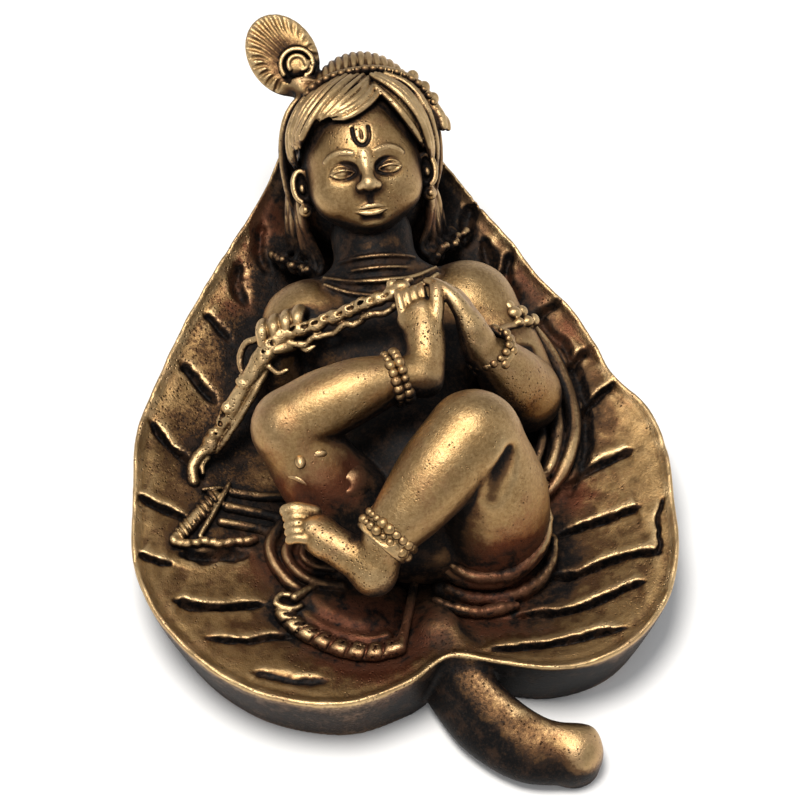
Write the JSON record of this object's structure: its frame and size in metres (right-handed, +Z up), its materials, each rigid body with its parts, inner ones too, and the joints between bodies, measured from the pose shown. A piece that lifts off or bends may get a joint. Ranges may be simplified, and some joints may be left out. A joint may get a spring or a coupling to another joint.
{
  "type": "brass statue of a baby krishna on a leaf",
  "caption": "Small solid cast brass statue of a baby krishna lying on a broad heart-shaped leaf with a curved stem, dark in its recesses.",
  "frame": {"origin": "on the flat underside, on the leaf's midrib, below the child's hips", "axes": "+Z up out of the leaf, +Y along the midrib from the stem towards the leaf's tip and the child's head, +X across the leaf, to the right as seen from the stem"},
  "size_m": [0.0597, 0.0895, 0.0324],
  "materials": {
    "aged_brass": "aged, dark brown in the recesses and polished on the high forms"
  },
  "bodies": {
    "root": {"child_on_leaf": "aged_brass"}
  },
  "joints": []
}
